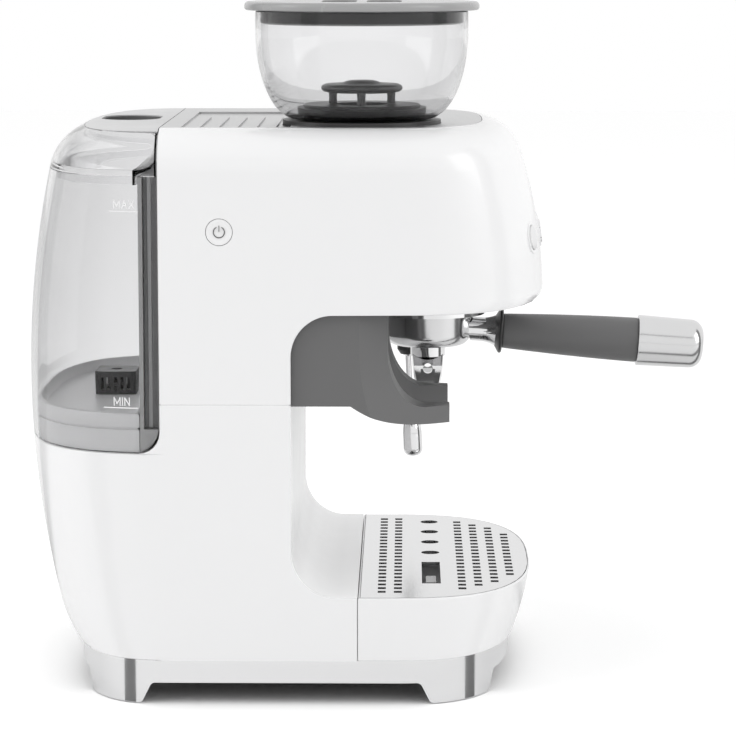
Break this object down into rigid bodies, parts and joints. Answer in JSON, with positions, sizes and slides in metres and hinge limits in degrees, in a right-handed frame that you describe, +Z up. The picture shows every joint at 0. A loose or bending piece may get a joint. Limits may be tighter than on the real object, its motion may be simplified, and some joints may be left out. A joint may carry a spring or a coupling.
{
  "type": "espresso machine with burr grinder",
  "caption": "Free-standing espresso machine with a conical burr grinder and bean hopper on top, filter holder with handle, steam wand, drip tray and lift-off rear water tank.",
  "frame": {"origin": "on the worktop, in the middle of the machine's width and 3 mm behind the middle of its four rubber pads", "axes": "+Z up, -Y out of the machine's front where the filter holder's handle points, +X to the right of someone facing the front"},
  "size_m": [0.25, 0.4092, 0.3991],
  "materials": {
    "white_paint": "gloss",
    "grey_plastic": "satin",
    "dark_plastic": "satin",
    "white_plastic": "gloss",
    "smoke_plastic": "gloss",
    "clear_plastic": "gloss",
    "hopper_lid_plastic": "satin",
    "chrome": "polished",
    "satin_steel": "satin",
    "base_metal": "satin",
    "burr_steel": "ground",
    "spring_steel": "drawn",
    "gear_brass": "cut",
    "nylon": "moulded",
    "die_cast": "cast",
    "rubber": "moulded",
    "pump_plastic": "moulded",
    "board": "lacquered"
  },
  "bodies": {
    "machine": {"base_frame": "base_metal", "foot_pads": "rubber", "base_plate": "dark_plastic", "lower_body": "white_paint", "upper_body": "white_paint", "head_lining": "grey_plastic", "grinder_cradle": "grey_plastic", "top_plate": "satin_steel", "tank_socket": "dark_plastic", "cord_gland": "rubber", "hopper_collar": "dark_plastic", "grinder_housing": "die_cast", "shaft_bearings": "spring_steel", "grinder_motor": "die_cast", "grounds_chute": "dark_plastic", "group_head": "chrome", "group_gasket": "rubber", "shower_screen": "satin_steel", "screen_screw": "satin_steel", "coffee_heater": "die_cast", "water_pump": "pump_plastic", "control_board": "board", "steam_port": "dark_plastic"},
    "water_tank": {"tank_shell": "smoke_plastic", "tank_panel": "grey_plastic", "tank_filter": "dark_plastic", "valve_spring": "spring_steel"},
    "tank_cover": {"tank_lid": "smoke_plastic"},
    "valve": {"tank_valve": "dark_plastic"},
    "hopper": {"hopper_bowl": "clear_plastic", "hopper_base": "dark_plastic", "hopper_guard": "dark_plastic"},
    "hopper_cover": {"hopper_lid": "hopper_lid_plastic", "lid_seal": "rubber"},
    "ring_carrier": {"burr_carrier": "dark_plastic", "outer_burr": "burr_steel"},
    "burr_drive": {"inner_burr": "burr_steel", "burr_shaft": "burr_steel", "burr_gear": "gear_brass"},
    "idler": {"idler_gear": "nylon"},
    "rotor": {"motor_pinion": "gear_brass"},
    "filter_holder": {"portafilter_body": "chrome", "filter_basket": "satin_steel", "portafilter_neck": "chrome", "double_spout": "chrome", "handle_flange": "dark_plastic", "handle_grip": "grey_plastic", "handle_cap": "satin_steel"},
    "steam_swivel": {"steam_collar": "dark_plastic"},
    "steam_wand": {"steam_tube": "chrome", "steam_sleeve": "chrome"},
    "power_key": {"power_button": "white_plastic"},
    "one_cup_key": {"one_cup_button": "chrome"},
    "two_cup_key": {"two_cup_button": "chrome"},
    "water_key": {"water_button": "chrome"},
    "steam_key": {"steam_button": "chrome"},
    "grind_key": {"grind_trigger": "dark_plastic"},
    "tray": {"drip_tray": "white_plastic"},
    "grate": {"drip_grate": "satin_steel"},
    "float": {"drip_float": "hopper_lid_plastic"}
  },
  "joints": [
    {"name": "tank_lift", "type": "slide", "parent": "machine", "child": "water_tank", "axis": [0, 0, 1], "range_m": [0, 0.06]},
    {"name": "tank_cover_lift", "type": "slide", "parent": "water_tank", "child": "tank_cover", "axis": [0, 0, 1], "range_m": [0, 0.04]},
    {"name": "valve_drop", "type": "slide", "parent": "water_tank", "child": "valve", "axis": [0, 0, 1], "range_m": [-0.0024, 0], "deforming": ["valve_spring"]},
    {"name": "hopper_turn", "type": "hinge", "parent": "machine", "child": "hopper", "pos_m": [-0.05, -0.0435, 0.331], "axis": [0, 0, 1], "range_deg": [-45, 45]},
    {"name": "hopper_cover_lift", "type": "slide", "parent": "hopper", "child": "hopper_cover", "axis": [0, 0, 1], "range_m": [0, 0.05]},
    {"name": "grind_setting", "type": "slide", "parent": "hopper", "child": "ring_carrier", "axis": [0, 0, 1], "range_m": [-0.00032, 0.00032]},
    {"name": "burr_turn", "type": "hinge", "parent": "machine", "child": "burr_drive", "pos_m": [-0.05, -0.0435, 0.29], "axis": [0, 0, 1], "continuous": true},
    {"name": "idler_turn", "type": "hinge", "parent": "machine", "child": "idler", "pos_m": [-0.05, -0.0075, 0.242], "axis": [0, 0, 1], "continuous": true},
    {"name": "rotor_turn", "type": "hinge", "parent": "machine", "child": "rotor", "pos_m": [-0.05, 0.0105, 0.242], "axis": [0, 0, 1], "continuous": true},
    {"name": "holder_lock", "type": "hinge", "parent": "machine", "child": "filter_holder", "pos_m": [0.058, -0.083, 0.2065], "axis": [0, 0, 1], "range_deg": [-45, 0]},
    {"name": "wand_swivel", "type": "hinge", "parent": "machine", "child": "steam_swivel", "pos_m": [0.101, -0.0707, 0.186], "axis": [0, 0, 1], "range_deg": [-10, 90]},
    {"name": "wand_tilt", "type": "hinge", "parent": "steam_swivel", "child": "steam_wand", "pos_m": [0.101, -0.0707, 0.175], "axis": [1, 0, 0], "range_deg": [-22, 8]},
    {"name": "power_press", "type": "slide", "parent": "machine", "child": "power_key", "axis": [1, 0, 0], "range_m": [0, 0.002], "stiffness_N_per_m": 600},
    {"name": "one_cup_press", "type": "slide", "parent": "machine", "child": "one_cup_key", "axis": [0.2552, 0.9565, -0.1412], "range_m": [0, 0.002], "stiffness_N_per_m": 600},
    {"name": "two_cup_press", "type": "slide", "parent": "machine", "child": "two_cup_key", "axis": [0.0363, 0.9893, -0.1412], "range_m": [0, 0.002], "stiffness_N_per_m": 600},
    {"name": "water_press", "type": "slide", "parent": "machine", "child": "water_key", "axis": [-0.0363, 0.9893, -0.1412], "range_m": [0, 0.002], "stiffness_N_per_m": 600},
    {"name": "steam_press", "type": "slide", "parent": "machine", "child": "steam_key", "axis": [-0.2552, 0.9565, -0.1412], "range_m": [0, 0.002], "stiffness_N_per_m": 600},
    {"name": "grind_press", "type": "slide", "parent": "machine", "child": "grind_key", "axis": [0, 1, 0], "range_m": [0, 0.003], "stiffness_N_per_m": 400},
    {"name": "tray_pull", "type": "slide", "parent": "machine", "child": "tray", "axis": [0, -1, 0], "range_m": [0, 0.15]},
    {"name": "grate_lift", "type": "slide", "parent": "tray", "child": "grate", "axis": [0, 0, 1], "range_m": [0, 0.03]},
    {"name": "float_rise", "type": "slide", "parent": "tray", "child": "float", "axis": [0, 0, 1], "range_m": [0, 0.008]}
  ],
  "couplings": [
    {"joint": "idler_turn", "follows": "burr_turn", "ratio": -2},
    {"joint": "rotor_turn", "follows": "burr_turn", "ratio": 4},
    {"joint": "grind_setting", "follows": "hopper_turn", "m_per_rad": 0.0004},
    {"joint": "valve_drop", "follows": "tank_lift", "ratio": -0.04}
  ]
}
